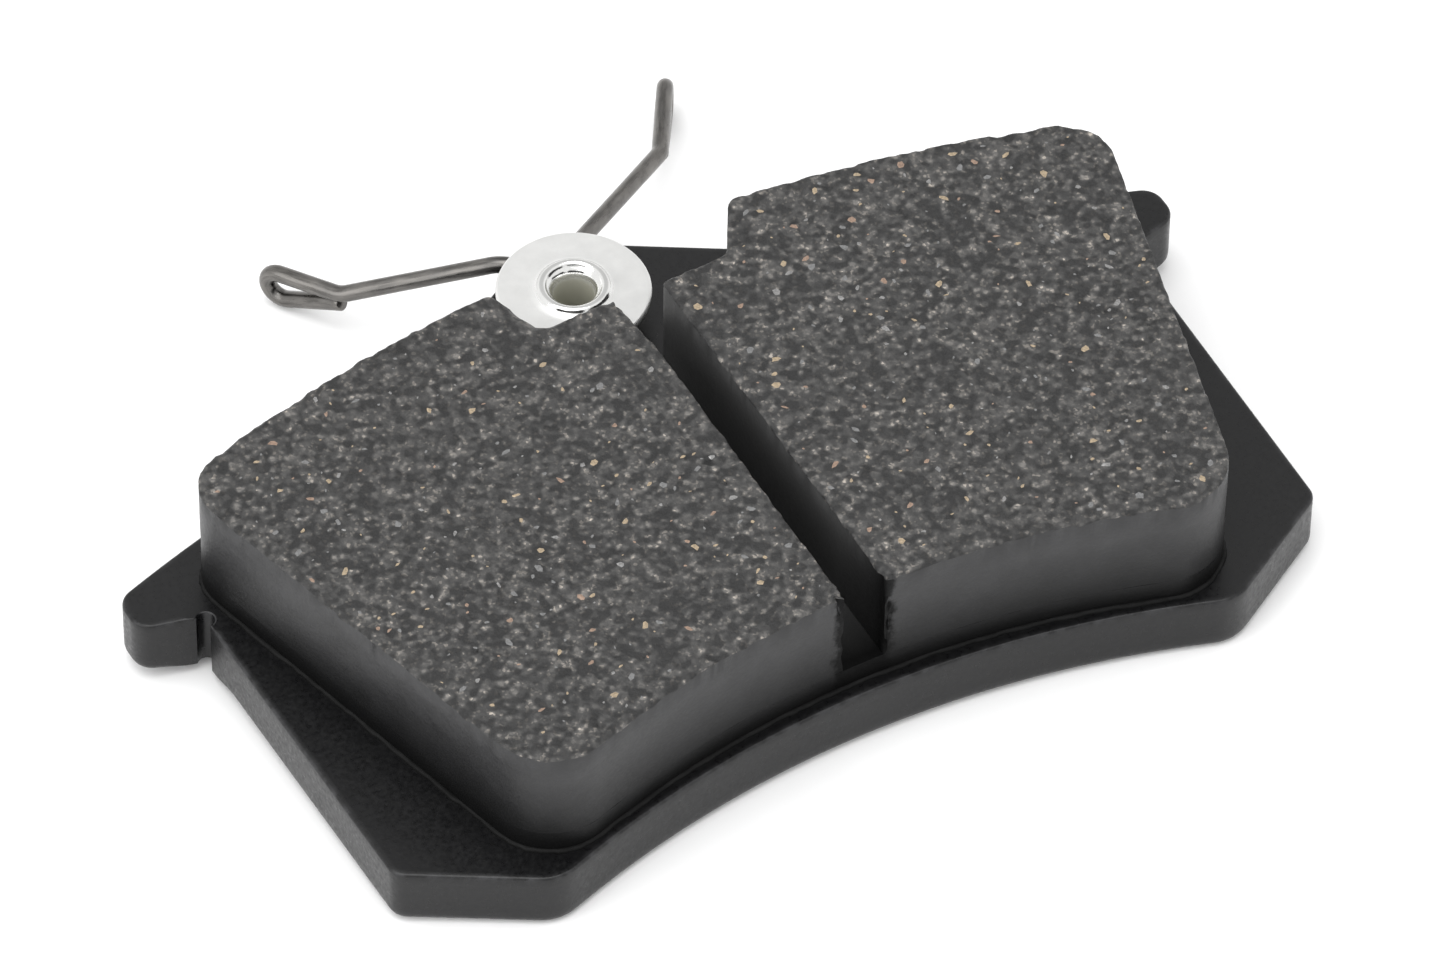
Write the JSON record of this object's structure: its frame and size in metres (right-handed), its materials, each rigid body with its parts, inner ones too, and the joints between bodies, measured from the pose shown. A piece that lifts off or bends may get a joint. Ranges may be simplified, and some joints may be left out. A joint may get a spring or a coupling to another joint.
{
  "type": "disc brake pad",
  "caption": "Disc brake pad: eared steel backing plate, slotted moulded lining and a wire spring with hooked arms held by a flanged rivet.",
  "frame": {"origin": "middle of the back face of the plate, on its line of symmetry and half way up the plate", "axes": "+X along the pad's width, +Y away from the wheel axle towards the rivet tab, +Z out through the lining towards the disc"},
  "size_m": [0.087, 0.0692, 0.0166],
  "materials": {
    "plate_paint": "satin black paint on steel",
    "adhesive": "matt cured adhesive",
    "underlayer": "moulded, satin",
    "friction": "ground, granular with metal flecks",
    "rivet_zinc": "bright zinc plated",
    "spring_wire": "drawn spring steel"
  },
  "bodies": {
    "pad": {"backing_plate": "plate_paint", "bond_layer": "adhesive", "underlayer": "underlayer", "friction_left": "friction", "friction_right": "friction", "rivet": "rivet_zinc"},
    "coil": {"spring_coil": "spring_wire"},
    "left_arm": {"spring_arm_left": "spring_wire"},
    "right_arm": {"spring_arm_right": "spring_wire"}
  },
  "joints": [
    {"name": "spring_swivel", "type": "hinge", "parent": "pad", "child": "coil", "pos_m": [-0.00135, 0.0209, 0.0064], "axis": [0, 0, 1], "range_deg": [-3, 3]},
    {"name": "left_arm_flex", "type": "hinge", "parent": "coil", "child": "left_arm", "pos_m": [-0.00462, 0.02686, 0.00715], "axis": [0, 0, 1], "range_deg": [-4, 10], "stiffness_Nm_per_rad": 0.5},
    {"name": "right_arm_flex", "type": "hinge", "parent": "coil", "child": "right_arm", "pos_m": [0.00192, 0.02686, 0.00575], "axis": [0, 0, -1], "range_deg": [-4, 10], "stiffness_Nm_per_rad": 0.5}
  ]
}
